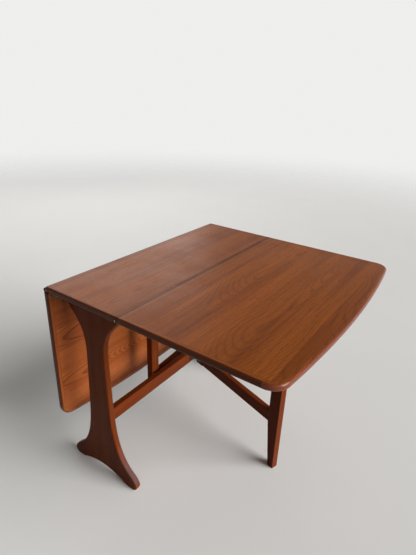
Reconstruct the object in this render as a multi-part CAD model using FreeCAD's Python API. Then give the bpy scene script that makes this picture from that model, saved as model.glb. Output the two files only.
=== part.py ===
import FreeCAD, Part
import math
import os

from FreeCAD import Vector

# Gateleg drop leaf table in teak, all sizes in millimetres.
# X runs across the table from leaf to leaf, Y along the leaf hinges, Z up from the floor.
# The origin is the middle of the floor under the centre top.
# As modelled, the right leaf (+X) is up on its open gate and the left leaf (-X) hangs.

# ---------------------------------------------------------------- overall sizes
TABLE_HEIGHT = 720.0
TABLE_WIDTH = 910.0         # along the hinges
TOP_SPAN = 304.0            # centre top, from joint line to joint line
LEAF_REACH = 532.0          # joint line to the middle of the leaf's bowed edge
BOARD = 20.0                # thickness of the centre top and the leaves

# ---------------------------------------------------------------- leaf outline
LEAF_BOW = 27.0             # how much shorter the leaf is at its ends
LEAF_CORNER = 50.0
EDGE_ROUND = 7.0            # rounding of every free edge
LIPPING = 14.0              # solid wood round the veneered panels
RULE_EDGE = 24.0            # solid wood that carries the rule joint

# ---------------------------------------------------------------- rule joint
QUIRK = 3.0                 # square step above the ovolo
PIN_HEIGHT = 7.0            # hinge pin, above the underside of the boards
OVOLO = BOARD - QUIRK - PIN_HEIGHT
COVE_GAP = 0.5              # play between ovolo and cove
JOINT_GAP = 1.0             # open line on the table's surface

# ---------------------------------------------------------------- leaf hinges
LEAF_HINGE_WIDTH = 50.0
LEAF_HINGE_FLAP = 36.0      # pin to the end of a flap
LEAF_HINGE_PLATE = 2.5
LEAF_HINGE_KNUCKLE = 4.2    # outside radius
LEAF_HINGE_PIN = 1.6        # radius
LEAF_HINGE_WEB = OVOLO + COVE_GAP   # pin to the start of the flat flap
LEAF_HINGE_END_KNUCKLE = 12.0
LEAF_HINGE_INSET = 10.0     # end hinges, from the board's end
KNUCKLE_END_INSET = 2.0     # the outermost knuckle stops this far inside the end

# ---------------------------------------------------------------- trestle ends
TRESTLE_THICK = 22.0
TRESTLE_INSET = 46.0        # outer face, from the end of the top
ARM_HALF = 140.0            # half width under the top
ARM_TIP_DEPTH = 9.0
ARM_HALF_MIDDLE = 100.0     # the arm's underside, measured down from the top
ARM_DROP_MIDDLE = 55.0
SHOULDER_HALF = 59.0
SHOULDER_DROP = 109.0
WAIST_HALF = 44.0
WAIST_DROP = 245.0
SHIN_HALF = 52.0            # the foot, measured up from the floor
SHIN_Z = 267.0
ANKLE_HALF = 79.0
ANKLE_Z = 129.0
INSTEP_HALF = 122.0
INSTEP_Z = 64.0
TOE_TOP_HALF = 147.0
TOE_TOP_Z = 42.0
TOE_REACH = 160.0
TOE_TIP_Z = 20.0
TOE_CONTACT_HALF = 150.0
ARCH_HALF = 112.0
ARCH_RISE = 28.0
TRESTLE_ROUND = 5.0

# ---------------------------------------------------------------- stretcher and bearer
STRETCHER_THICK = 24.0
STRETCHER_DEPTH = 51.0
STRETCHER_TOP_Z = 256.0
BEARER_DEPTH = 50.0
TENON_THICK = 10.0
TENON_SHOULDER = 7.0        # tenon is this much shallower than its rail, above and below
TRESTLE_TENON = 13.0        # length into a trestle end
ARRIS = 2.0                 # eased edges of the rails

# ---------------------------------------------------------------- gates
GATE_THICK = 26.0           # stile and leg
GATE_RAIL_THICK = 21.0
GATE_CLEARANCE = 10.0       # stretcher face to the shut gate
GATE_HINGE_Y = 119.0        # pin line, from the middle of the table
GATE_TO_TRESTLE = 4.0       # shut gate's leg, from the trestle end's inner face
STILE_WIDTH = 42.0
STILE_SETBACK = 3.0         # stile starts this far past the pin
LEG_WIDTH = 49.0
LEG_FOOT_WIDTH = 26.0
LOWER_RAIL_Z = 194.0
LOWER_RAIL_DEPTH = 47.0
UPPER_RAIL_DROP = 12.0      # upper rail, below the top's underside
UPPER_RAIL_DEPTH = 46.0
GATE_TENON = 20.0
GATE_TOP_GAP = 0.5          # running gap under the boards
GATE_OPEN = 72.0            # degrees, right gate as modelled
GATE_AJAR = 4.0             # degrees, left gate as modelled
STOP_THICK = 18.0
STOP_LENGTH = 46.0
STOP_DEPTH = 15.0
STOP_GAP = 0.4

# ---------------------------------------------------------------- gate hinges
GATE_HINGE_HEIGHT = 44.0
GATE_HINGE_FLAP = 28.0
GATE_HINGE_PLATE = 2.0
GATE_HINGE_KNUCKLE = 4.5
GATE_HINGE_PIN = 2.0
GATE_HINGE_WEB = 5.0
GATE_HINGE_PIN_PROUD = 1.2
KNUCKLE_GAP = 0.3
PIN_PLAY = 0.06

# ---------------------------------------------------------------- fastenings
SCREW_HEAD = 3.4
SCREW_SHANK = 1.6
SCREW_SINK = 1.8            # depth of the countersink
SCREW_LENGTH = 14.0
SCREW_HOLE_PLAY = 0.05
BEARER_SCREW_HEAD = 4.0
BEARER_SCREW_SHANK = 2.0
BEARER_SCREW_BITE = 12.0    # length into the centre top
BEARER_SCREW_COUNTERBORE = 18.0
BEARER_SCREW_HEAD_DEPTH = 3.0
DOWEL = 4.0                 # radius
DOWEL_X = 92.0
DOWEL_BITE_TOP = 12.0
DOWEL_BITE_TRESTLE = 26.0
BLOCK_SIDE = 24.0
BLOCK_START_X = 40.0
BLOCK_LENGTH = 70.0

# ---------------------------------------------------------------- worked out from the above
HALF_WIDTH = TABLE_WIDTH / 2
UNDERSIDE = TABLE_HEIGHT - BOARD
SPLIT_X = TOP_SPAN / 2
PIVOT_Z = UNDERSIDE + PIN_HEIGHT
COVE = OVOLO + COVE_GAP
LEAF_EDGE_X = SPLIT_X + JOINT_GAP
BOW_RADIUS = (HALF_WIDTH ** 2 + LEAF_BOW ** 2) / (2 * LEAF_BOW)
BOW_CENTRE_X = SPLIT_X + LEAF_REACH - BOW_RADIUS
CORNER_Y = HALF_WIDTH - LEAF_CORNER
CORNER_X = BOW_CENTRE_X + math.sqrt((BOW_RADIUS - LEAF_CORNER) ** 2 - CORNER_Y ** 2)
TRESTLE_OUTER_Y = HALF_WIDTH - TRESTLE_INSET
TRESTLE_INNER_Y = TRESTLE_OUTER_Y - TRESTLE_THICK
GATE_REACH = GATE_HINGE_Y + TRESTLE_INNER_Y - GATE_TO_TRESTLE   # pin to the leg's outer edge
STRETCHER_FACE_X = STRETCHER_THICK / 2
GATE_PIN_X = STRETCHER_FACE_X + GATE_CLEARANCE / 2
GATE_INNER_X = STRETCHER_FACE_X + GATE_CLEARANCE
GATE_MIDDLE_X = GATE_INNER_X + GATE_THICK / 2
GATE_TOP_Z = UNDERSIDE - GATE_TOP_GAP
LOWER_RAIL_TOP = LOWER_RAIL_Z + LOWER_RAIL_DEPTH
UPPER_RAIL_TOP = UNDERSIDE - UPPER_RAIL_DROP
UPPER_RAIL_Z = UPPER_RAIL_TOP - UPPER_RAIL_DEPTH
STRETCHER_Z = STRETCHER_TOP_Z - STRETCHER_DEPTH
BEARER_Z = UNDERSIDE - BEARER_DEPTH
LEAF_HINGE_END_Y = HALF_WIDTH - LEAF_HINGE_INSET - LEAF_HINGE_WIDTH / 2
LEAF_HINGE_YS = (-LEAF_HINGE_END_Y, 0.0, LEAF_HINGE_END_Y)
LEAF_HINGE_SCREW_XS = (LEAF_HINGE_WEB + 5.5, LEAF_HINGE_FLAP - 7.0)
LEAF_HINGE_SCREW_Y = LEAF_HINGE_WIDTH / 2 - 9.0
GATE_HINGE_ZS = (STRETCHER_Z + STRETCHER_DEPTH / 2, BEARER_Z + BEARER_DEPTH / 2)
GATE_HINGE_SCREW_Y = GATE_HINGE_FLAP - 10.0
GATE_HINGE_SCREW_Z = GATE_HINGE_HEIGHT / 2 - 8.0

FAR = 2000.0                # larger than the table, for cutting tools
UP = Vector(0, 0, 1)
ALONG = Vector(0, 1, 0)
ACROSS = Vector(1, 0, 0)
ORIGIN = Vector(0, 0, 0)
GATE_PIN = Vector(GATE_PIN_X, GATE_HINGE_Y, 0)
LEFT_LEAF_PIN = Vector(-SPLIT_X, 0, PIVOT_Z)


# ---------------------------------------------------------------- small helpers
def box(x0, x1, y0, y1, z0, z1):
    """Block between two X, two Y and two Z values."""
    return Part.makeBox(x1 - x0, y1 - y0, z1 - z0, Vector(x0, y0, z0))


def eased_box(x0, x1, y0, y1, z0, z1, along, radius):
    """Block whose four edges along one axis are rounded."""
    block = box(x0, x1, y0, y1, z0, z1)
    edges = []
    for edge in block.Edges:
        run = edge.Vertexes[1].Point - edge.Vertexes[0].Point
        if abs(run.dot(along)) > abs(run.Length) * 0.99:
            edges.append(edge)
    return block.makeFillet(radius, edges)


def rod_along_y(x, z, radius, y0, y1):
    """Round bar parallel to the leaf hinges."""
    return Part.makeCylinder(radius, y1 - y0, Vector(x, y0, z), ALONG)


def upright_rod(x, y, radius, z0, z1):
    """Round bar standing on end."""
    return Part.makeCylinder(radius, z1 - z0, Vector(x, y, z0), UP)


def joined(shapes):
    """One solid from several that meet."""
    whole = shapes[0]
    for shape in shapes[1:]:
        whole = whole.fuse(shape)
    return whole.removeSplitter()


def less(shape, tools):
    """A shape with each tool taken away."""
    for tool in tools:
        shape = shape.cut(tool)
    return shape


def turned(shape, centre, axis, degrees):
    """A turned copy."""
    copy = shape.copy()
    copy.rotate(centre, axis, degrees)
    return copy


def to_left(shape):
    """The left side is the right side turned half round the middle of the table."""
    return turned(shape, ORIGIN, UP, 180.0)


def solids(shapes):
    """Every solid in a list of shapes."""
    found = []
    for shape in shapes:
        found.extend(shape.Solids)
    return found


def save(node, shapes):
    """Write one node, as one solid or a group of separate solids."""
    found = solids(shapes)
    whole = found[0] if len(found) == 1 else Part.makeCompound(found)
    whole.exportStep(os.path.join("parts", node + ".step"))


# ---------------------------------------------------------------- screws
def screw(face_point, inward, length):
    """Countersunk wood screw with its flat head flush at face_point."""
    head = Part.makeCone(SCREW_HEAD, SCREW_SHANK, SCREW_SINK, face_point, inward)
    shank = Part.makeCylinder(SCREW_SHANK, length, face_point, inward)
    return joined([head, shank])


def screw_hole(face_point, inward, length):
    """Room for that screw in a flap and in the wood behind it."""
    play = SCREW_HOLE_PLAY
    sink = Part.makeCone(SCREW_HEAD + play, SCREW_SHANK + play, SCREW_SINK, face_point, inward)
    bore = Part.makeCylinder(SCREW_SHANK + play, length + play, face_point, inward)
    return joined([sink, bore])


# ---------------------------------------------------------------- leaf hinges, right side, leaf raised
def leaf_hinge_spans(middle_y):
    """Start and end of the three knuckles along Y, near end first."""
    near = middle_y - LEAF_HINGE_WIDTH / 2
    far = middle_y + LEAF_HINGE_WIDTH / 2
    inner_near = near + LEAF_HINGE_END_KNUCKLE
    inner_far = far - LEAF_HINGE_END_KNUCKLE
    if middle_y < 0:
        near = -HALF_WIDTH + KNUCKLE_END_INSET
    if middle_y > 0:
        far = HALF_WIDTH - KNUCKLE_END_INSET
    leaf_span = (inner_near + KNUCKLE_GAP, inner_far - KNUCKLE_GAP)
    return (near, inner_near), leaf_span, (inner_far, far)


def leaf_hinge_screw_points(side, middle_y):
    """Where the screws of one flap sit; side is +1 on the leaf and -1 on the centre top."""
    points = []
    for reach in LEAF_HINGE_SCREW_XS:
        for offset in (-LEAF_HINGE_SCREW_Y, LEAF_HINGE_SCREW_Y):
            points.append(Vector(SPLIT_X + side * reach, middle_y + offset, UNDERSIDE))
    return points


def leaf_hinge_flap(side, middle_y):
    """One flap: a flat plate let in flush, with knuckles that stand up to the pin."""
    near_span, leaf_span, far_span = leaf_hinge_spans(middle_y)
    spans = (leaf_span,) if side > 0 else (near_span, far_span)
    plate_near = middle_y - LEAF_HINGE_WIDTH / 2
    plate_far = middle_y + LEAF_HINGE_WIDTH / 2
    plate_xs = sorted((SPLIT_X + side * LEAF_HINGE_WEB, SPLIT_X + side * LEAF_HINGE_FLAP))
    web_xs = sorted((SPLIT_X, SPLIT_X + side * LEAF_HINGE_WEB))
    plate_top = UNDERSIDE + LEAF_HINGE_PLATE
    pieces = [box(plate_xs[0], plate_xs[1], plate_near, plate_far, UNDERSIDE, plate_top)]
    for start, end in spans:
        web_start = max(start, plate_near)
        web_end = min(end, plate_far)
        web_top = PIVOT_Z - LEAF_HINGE_KNUCKLE / 2
        pieces.append(box(web_xs[0], web_xs[1], web_start, web_end, UNDERSIDE, web_top))
        pieces.append(rod_along_y(SPLIT_X, PIVOT_Z, LEAF_HINGE_KNUCKLE, start, end))
    holes = [rod_along_y(SPLIT_X, PIVOT_Z, LEAF_HINGE_PIN + PIN_PLAY, -FAR, FAR)]
    for point in leaf_hinge_screw_points(side, middle_y):
        holes.append(screw_hole(point, UP, SCREW_LENGTH))
    return less(joined(pieces), holes)


def leaf_hinge_pin(middle_y):
    """Pin through the three knuckles."""
    near_span, _, far_span = leaf_hinge_spans(middle_y)
    return rod_along_y(SPLIT_X, PIVOT_Z, LEAF_HINGE_PIN, near_span[0], far_span[1])


def leaf_hinge_pockets(side, middle_y):
    """Wood taken out for one hinge, from the leaf (+1) or from the centre top (-1)."""
    near_span, leaf_span, far_span = leaf_hinge_spans(middle_y)
    room = KNUCKLE_GAP
    plate_near = middle_y - LEAF_HINGE_WIDTH / 2 - room
    plate_far = middle_y + LEAF_HINGE_WIDTH / 2 + room
    below = UNDERSIDE - 1.0
    plate_top = UNDERSIDE + LEAF_HINGE_PLATE
    plate_xs = sorted((SPLIT_X + side * LEAF_HINGE_WEB, SPLIT_X + side * (LEAF_HINGE_FLAP + room)))
    tools = [box(plate_xs[0], plate_xs[1], plate_near, plate_far, below, plate_top)]
    for point in leaf_hinge_screw_points(side, middle_y):
        tools.append(screw_hole(point, UP, SCREW_LENGTH))
    if side < 0:
        knuckle_room = LEAF_HINGE_KNUCKLE + room
        web_x = SPLIT_X - LEAF_HINGE_WEB
        ovolo_x = SPLIT_X + OVOLO + 1.0
        tools.append(box(web_x, ovolo_x, leaf_span[0] - room, leaf_span[1] + room,
                         below, PIVOT_Z + knuckle_room))
        for start, end in (near_span, far_span):
            start = -FAR if start < -HALF_WIDTH + LEAF_HINGE_INSET else start
            end = FAR if end > HALF_WIDTH - LEAF_HINGE_INSET else end
            tools.append(rod_along_y(SPLIT_X, PIVOT_Z, knuckle_room, start, end))
            slot_start = max(start, plate_near)
            slot_end = min(end, plate_far)
            tools.append(box(web_x, SPLIT_X + knuckle_room, slot_start, slot_end, below, PIVOT_Z))
    return tools


# ---------------------------------------------------------------- centre top
def centre_board():
    """The centre top as one board, with its ovolo edges and hinge pockets."""
    pieces = [box(-SPLIT_X, SPLIT_X, -HALF_WIDTH, HALF_WIDTH, UNDERSIDE, TABLE_HEIGHT)]
    for side in (-1, 1):
        ovolo = rod_along_y(side * SPLIT_X, PIVOT_Z, OVOLO, -HALF_WIDTH, HALF_WIDTH)
        pieces.append(ovolo.common(box(-FAR, FAR, -FAR, FAR, UNDERSIDE, FAR)))
    envelope = eased_box(-FAR, FAR, -HALF_WIDTH, HALF_WIDTH, UNDERSIDE, TABLE_HEIGHT,
                         ACROSS, EDGE_ROUND)
    board = joined(pieces).common(envelope)
    tools = []
    for middle_y in LEAF_HINGE_YS:
        for tool in leaf_hinge_pockets(-1, middle_y):
            tools.append(tool)
            tools.append(to_left(tool))
    tools.extend(bearer_screw_pilots())
    tools.extend(top_dowels(SCREW_HOLE_PLAY))
    return less(board, tools)


def make_centre_top():
    board = centre_board()
    edge_x = SPLIT_X - RULE_EDGE
    panel_y = HALF_WIDTH - LIPPING
    middle = board.common(box(-edge_x, edge_x, -FAR, FAR, 0, FAR))
    save("centre_top_panel", [middle.common(box(-FAR, FAR, -panel_y, panel_y, 0, FAR))])
    save("centre_top_near_lipping", [middle.common(box(-FAR, FAR, -FAR, -panel_y, 0, FAR))])
    save("centre_top_far_lipping", [middle.common(box(-FAR, FAR, panel_y, FAR, 0, FAR))])
    save("centre_top_right_edge", [board.common(box(edge_x, FAR, -FAR, FAR, 0, FAR))])
    save("centre_top_left_edge", [board.common(box(-FAR, -edge_x, -FAR, FAR, 0, FAR))])


# ---------------------------------------------------------------- leaves
def leaf_outline(inset):
    """Plan of the raised right leaf, drawn in on its three free sides."""
    radius = LEAF_CORNER - inset
    side_y = HALF_WIDTH - inset
    lean = math.atan2(CORNER_Y, CORNER_X - BOW_CENTRE_X)
    halfway = (lean + math.pi / 2) / 2

    def corner(side, angle):
        x = CORNER_X + radius * math.cos(angle)
        y = CORNER_Y + radius * math.sin(angle)
        return Vector(x, side * y, 0)

    near_hinge = Vector(LEAF_EDGE_X, -side_y, 0)
    far_hinge = Vector(LEAF_EDGE_X, side_y, 0)
    near_turn = Vector(CORNER_X, -side_y, 0)
    far_turn = Vector(CORNER_X, side_y, 0)
    apex = Vector(BOW_CENTRE_X + BOW_RADIUS - inset, 0, 0)
    edges = [
        Part.LineSegment(near_hinge, near_turn).toShape(),
        Part.Arc(near_turn, corner(-1, halfway), corner(-1, lean)).toShape(),
        Part.Arc(corner(-1, lean), apex, corner(1, lean)).toShape(),
        Part.Arc(corner(1, lean), corner(1, halfway), far_turn).toShape(),
        Part.LineSegment(far_turn, far_hinge).toShape(),
        Part.LineSegment(far_hinge, near_hinge).toShape(),
    ]
    return Part.Face(Part.Wire(edges))


def leaf_prism(inset, z0, z1):
    """That plan as a block."""
    face = leaf_outline(inset)
    face.translate(Vector(0, 0, z0))
    return face.extrude(Vector(0, 0, z1 - z0))


def leaf_board():
    """The raised right leaf as one board, rounded, coved and recessed for its hinges."""
    board = leaf_prism(0.0, UNDERSIDE, TABLE_HEIGHT)
    rounded = []
    for edge in board.Edges:
        ends = edge.BoundBox
        level = ends.ZLength < 0.1
        at_hinge = ends.XMax < LEAF_EDGE_X + 0.1
        if level and not at_hinge:
            rounded.append(edge)
    board = board.makeFillet(EDGE_ROUND, rounded)
    tools = [
        rod_along_y(SPLIT_X, PIVOT_Z, COVE, -FAR, FAR),
        box(0, SPLIT_X + COVE, -FAR, FAR, 0, PIVOT_Z),
    ]
    for middle_y in LEAF_HINGE_YS:
        tools.extend(leaf_hinge_pockets(1, middle_y))
    tools.extend(stop_screw_holes())
    return less(board, tools)


def placed_leaf(shape, side):
    """Right leaf as it is; left leaf turned to its side and hanging."""
    if side == "right":
        return shape
    return turned(to_left(shape), LEFT_LEAF_PIN, ALONG, -90.0)


def make_leaf(side):
    board = leaf_board()
    strip_x = LEAF_EDGE_X + RULE_EDGE
    inner = leaf_prism(LIPPING, 0, FAR)
    strip = board.common(box(0, strip_x, -FAR, FAR, 0, FAR))
    rest = board.common(box(strip_x, FAR, -FAR, FAR, 0, FAR))
    ring = rest.cut(inner)
    pieces = {
        "rule_edge": strip,
        "panel": rest.common(inner),
        "near_lipping": ring.common(box(0, CORNER_X, -FAR, 0, 0, FAR)),
        "far_lipping": ring.common(box(0, CORNER_X, 0, FAR, 0, FAR)),
        "outer_lipping": ring.common(box(CORNER_X, FAR, -FAR, FAR, 0, FAR)),
        "gate_stop": gate_stop(),
    }
    swapped = {"near_lipping": "far_lipping", "far_lipping": "near_lipping"}
    for name, shape in pieces.items():
        if side == "left":
            name = swapped.get(name, name)
        save(side + "_leaf_" + name, [placed_leaf(shape, side)])
    flaps = [leaf_hinge_flap(1, y) for y in LEAF_HINGE_YS]
    screws = stop_screws()
    for y in LEAF_HINGE_YS:
        for point in leaf_hinge_screw_points(1, y):
            screws.append(screw(point, UP, SCREW_LENGTH))
    save(side + "_leaf_hinge_flaps", [placed_leaf(shape, side) for shape in flaps])
    save(side + "_leaf_screws", [placed_leaf(shape, side) for shape in screws])


def make_leaf_hinge_frame_side():
    """Flaps, pins and screws of the leaf hinges that stay with the centre top."""
    flaps = [leaf_hinge_flap(-1, y) for y in LEAF_HINGE_YS]
    pins = [leaf_hinge_pin(y) for y in LEAF_HINGE_YS]
    screws = []
    for y in LEAF_HINGE_YS:
        for point in leaf_hinge_screw_points(-1, y):
            screws.append(screw(point, UP, SCREW_LENGTH))
    save("right_leaf_hinge_top_flaps", flaps)
    save("left_leaf_hinge_top_flaps", [to_left(shape) for shape in flaps])
    save("right_leaf_hinge_pins", pins)
    save("left_leaf_hinge_pins", [to_left(shape) for shape in pins])
    save("leaf_hinge_top_screws", screws + [to_left(shape) for shape in screws])


# ---------------------------------------------------------------- trestle ends
def flank_curve():
    """Right-hand flank of a trestle end, from the arm's tip down to the toe."""
    points = [
        Vector(ARM_HALF, 0, UNDERSIDE - ARM_TIP_DEPTH),
        Vector(ARM_HALF_MIDDLE, 0, UNDERSIDE - ARM_DROP_MIDDLE),
        Vector(SHOULDER_HALF, 0, UNDERSIDE - SHOULDER_DROP),
        Vector(WAIST_HALF, 0, UNDERSIDE - WAIST_DROP),
        Vector(SHIN_HALF, 0, SHIN_Z),
        Vector(ANKLE_HALF, 0, ANKLE_Z),
        Vector(INSTEP_HALF, 0, INSTEP_Z),
        Vector(TOE_TOP_HALF, 0, TOE_TOP_Z),
        Vector(TOE_REACH, 0, TOE_TIP_Z),
        Vector(TOE_CONTACT_HALF, 0, 0),
    ]
    curve = Part.BSplineCurve()
    curve.interpolate(points)
    return curve


def trestle_blank():
    """A trestle end before its joints are cut, with its inner face at Y = 0."""
    right = flank_curve().toShape()
    left = right.mirror(ORIGIN, ACROSS)
    top = Part.LineSegment(Vector(-ARM_HALF, 0, UNDERSIDE), Vector(ARM_HALF, 0, UNDERSIDE))
    edges = [top.toShape(), right, left]
    for side in (-1, 1):
        tip_top = Vector(side * ARM_HALF, 0, UNDERSIDE)
        tip_low = Vector(side * ARM_HALF, 0, UNDERSIDE - ARM_TIP_DEPTH)
        edges.append(Part.LineSegment(tip_top, tip_low).toShape())
        outer = Vector(side * TOE_CONTACT_HALF, 0, 0)
        inner = Vector(side * ARCH_HALF, 0, 0)
        edges.append(Part.LineSegment(outer, inner).toShape())
    arch = Part.Arc(Vector(-ARCH_HALF, 0, 0), Vector(0, 0, ARCH_RISE), Vector(ARCH_HALF, 0, 0))
    edges.append(arch.toShape())
    wire = Part.Wire(Part.__sortEdges__(edges))
    blank = Part.Face(wire).extrude(Vector(0, TRESTLE_THICK, 0))
    flanks = []
    for edge in blank.Edges:
        bounds = edge.BoundBox
        if bounds.YLength < 0.1 and bounds.ZLength > UNDERSIDE / 2:
            flanks.append(edge)
    return blank.makeFillet(TRESTLE_ROUND, flanks)


def make_trestle_ends():
    blank = trestle_blank()
    tools = [stretcher(), bearer()] + top_dowels(SCREW_HOLE_PLAY)
    far_end = blank.copy()
    far_end.translate(Vector(0, TRESTLE_INNER_Y, 0))
    near_end = blank.copy()
    near_end.translate(Vector(0, -TRESTLE_OUTER_Y, 0))
    save("near_trestle_end", [less(near_end, tools)])
    save("far_trestle_end", [less(far_end, tools)])


# ---------------------------------------------------------------- rails between the trestle ends
def rail_between_trestles(z0, z1):
    """Rail along Y with a stub tenon at each end."""
    half = STRETCHER_THICK / 2
    body = eased_box(-half, half, -TRESTLE_INNER_Y, TRESTLE_INNER_Y, z0, z1, ALONG, ARRIS)
    reach = TRESTLE_INNER_Y + TRESTLE_TENON
    tenon = box(-TENON_THICK / 2, TENON_THICK / 2, -reach, reach,
                z0 + TENON_SHOULDER, z1 - TENON_SHOULDER)
    return joined([body, tenon])


def stretcher():
    return rail_between_trestles(STRETCHER_Z, STRETCHER_TOP_Z)


def bearer():
    return rail_between_trestles(BEARER_Z, UNDERSIDE)


def bearer_screw_ys():
    """Two pairs of screws, clear of the gate hinges."""
    inner = GATE_HINGE_Y / 2
    outer = (GATE_HINGE_Y + TRESTLE_INNER_Y) / 2
    return (-outer, -inner, inner, outer)


def bearer_screw_pilots():
    """Holes for the bearer screws in the centre top."""
    radius = BEARER_SCREW_SHANK + SCREW_HOLE_PLAY
    top = UNDERSIDE + BEARER_SCREW_BITE + SCREW_HOLE_PLAY
    return [upright_rod(0, y, radius, UNDERSIDE - 1.0, top) for y in bearer_screw_ys()]


def gate_hinge_pilots():
    """Screw holes in the stretcher and the bearer for the hinges of both gates."""
    holes = gate_hinge_screws(False, screw_hole)
    return holes + [to_left(hole) for hole in holes]


def make_rails():
    save("stretcher", [less(stretcher(), gate_hinge_pilots())])
    tools = gate_hinge_pilots()
    screws = []
    head_z = BEARER_Z + BEARER_SCREW_COUNTERBORE
    for y in bearer_screw_ys():
        play = SCREW_HOLE_PLAY
        tools.append(upright_rod(0, y, BEARER_SCREW_HEAD + play, 0, head_z))
        tools.append(upright_rod(0, y, BEARER_SCREW_SHANK + play, 0, FAR))
        head = upright_rod(0, y, BEARER_SCREW_HEAD, head_z - BEARER_SCREW_HEAD_DEPTH, head_z)
        shank = upright_rod(0, y, BEARER_SCREW_SHANK, head_z, UNDERSIDE + BEARER_SCREW_BITE)
        screws.append(joined([head, shank]))
    save("top_bearer", [less(bearer(), tools)])
    save("bearer_screws", screws)


def top_dowels(play):
    """Dowels that fix the centre top on the trestle ends; play widens them into holes."""
    middle_y = TRESTLE_INNER_Y + TRESTLE_THICK / 2
    dowels = []
    for x in (-DOWEL_X, DOWEL_X):
        for y in (-middle_y, middle_y):
            dowels.append(upright_rod(x, y, DOWEL + play, UNDERSIDE - DOWEL_BITE_TRESTLE - play,
                                      UNDERSIDE + DOWEL_BITE_TOP + play))
    return dowels


def make_top_dowels():
    save("top_dowels", top_dowels(0.0))


def make_glue_blocks():
    """Triangular blocks in the corners that no gate leg passes."""
    start = -BLOCK_START_X - BLOCK_LENGTH
    corner = Vector(start, -TRESTLE_INNER_Y, UNDERSIDE)
    below = corner - Vector(0, 0, BLOCK_SIDE)
    inward = corner + Vector(0, BLOCK_SIDE, 0)
    face = Part.Face(Part.makePolygon([corner, below, inward, corner]))
    block = face.extrude(Vector(BLOCK_LENGTH, 0, 0))
    save("near_glue_block", [block])
    save("far_glue_block", [to_left(block)])


# ---------------------------------------------------------------- gates, right side, shut
def placed_gate(shape, side):
    """Right gate swung open; left gate turned to its side and left ajar."""
    if side == "right":
        return turned(shape, GATE_PIN, UP, GATE_OPEN)
    return to_left(turned(shape, GATE_PIN, UP, GATE_AJAR))


def gate_y(distance):
    """Y of a point this far from the pin along the shut gate."""
    return GATE_HINGE_Y - distance


def gate_rail(z0, z1):
    """Rail from stile to leg with a tenon at each end."""
    start = STILE_SETBACK + STILE_WIDTH
    end = GATE_REACH - LEG_WIDTH
    half = GATE_RAIL_THICK / 2
    body = eased_box(GATE_MIDDLE_X - half, GATE_MIDDLE_X + half, gate_y(end), gate_y(start),
                     z0, z1, ALONG, ARRIS)
    tenon = box(GATE_MIDDLE_X - TENON_THICK / 2, GATE_MIDDLE_X + TENON_THICK / 2,
                gate_y(end + GATE_TENON), gate_y(start - GATE_TENON),
                z0 + TENON_SHOULDER, z1 - TENON_SHOULDER)
    return joined([body, tenon])


def gate_stile():
    return eased_box(GATE_INNER_X, GATE_INNER_X + GATE_THICK,
                     gate_y(STILE_SETBACK + STILE_WIDTH), gate_y(STILE_SETBACK),
                     LOWER_RAIL_Z, GATE_TOP_Z, UP, ARRIS)


def gate_leg():
    """Leg, straight on its outer edge and tapered inside below the lower rail."""
    outer = gate_y(GATE_REACH)
    inner = gate_y(GATE_REACH - LEG_WIDTH)
    foot = gate_y(GATE_REACH - LEG_FOOT_WIDTH)
    points = [
        Vector(GATE_INNER_X, outer, 0),
        Vector(GATE_INNER_X, foot, 0),
        Vector(GATE_INNER_X, inner, LOWER_RAIL_Z),
        Vector(GATE_INNER_X, inner, GATE_TOP_Z),
        Vector(GATE_INNER_X, outer, GATE_TOP_Z),
    ]
    points.append(points[0])
    blank = Part.Face(Part.makePolygon(points)).extrude(Vector(GATE_THICK, 0, 0))
    uprights = []
    for edge in blank.Edges:
        bounds = edge.BoundBox
        if bounds.XLength < 0.1 and bounds.ZLength > LOWER_RAIL_Z / 2:
            uprights.append(edge)
    return blank.makeFillet(ARRIS, uprights)


def stop_place(reach, offset, z):
    """A point beside the open gate, in the table's own axes."""
    point = Vector(GATE_MIDDLE_X + GATE_THICK / 2 + STOP_GAP + offset, gate_y(reach), z)
    turn = FreeCAD.Rotation(UP, GATE_OPEN)
    return GATE_PIN + turn.multVec(point - GATE_PIN)


def stop_screw_reaches():
    middle = GATE_REACH - LEG_WIDTH / 2
    return (middle - STOP_LENGTH / 4, middle + STOP_LENGTH / 4)


def stop_screws():
    bottom = UNDERSIDE - STOP_DEPTH
    length = STOP_DEPTH + SCREW_LENGTH
    return [screw(stop_place(reach, STOP_THICK / 2, bottom), UP, length)
            for reach in stop_screw_reaches()]


def stop_screw_holes():
    bottom = UNDERSIDE - STOP_DEPTH
    length = STOP_DEPTH + SCREW_LENGTH
    return [screw_hole(stop_place(reach, STOP_THICK / 2, bottom), UP, length)
            for reach in stop_screw_reaches()]


def gate_stop():
    """Block under the leaf that the open gate leg comes to rest against."""
    start = GATE_MIDDLE_X + GATE_THICK / 2 + STOP_GAP
    middle = GATE_REACH - LEG_WIDTH / 2
    block = eased_box(start, start + STOP_THICK, gate_y(middle + STOP_LENGTH / 2),
                      gate_y(middle - STOP_LENGTH / 2), UNDERSIDE - STOP_DEPTH, UNDERSIDE,
                      UP, ARRIS)
    return less(turned(block, GATE_PIN, UP, GATE_OPEN), stop_screw_holes())


# ---------------------------------------------------------------- gate hinges, right side, shut
def gate_hinge_screw_points(face_x, middle_z):
    y = gate_y(GATE_HINGE_SCREW_Y)
    offsets = (-GATE_HINGE_SCREW_Z, GATE_HINGE_SCREW_Z)
    return [Vector(face_x, y, middle_z + offset) for offset in offsets]


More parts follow.
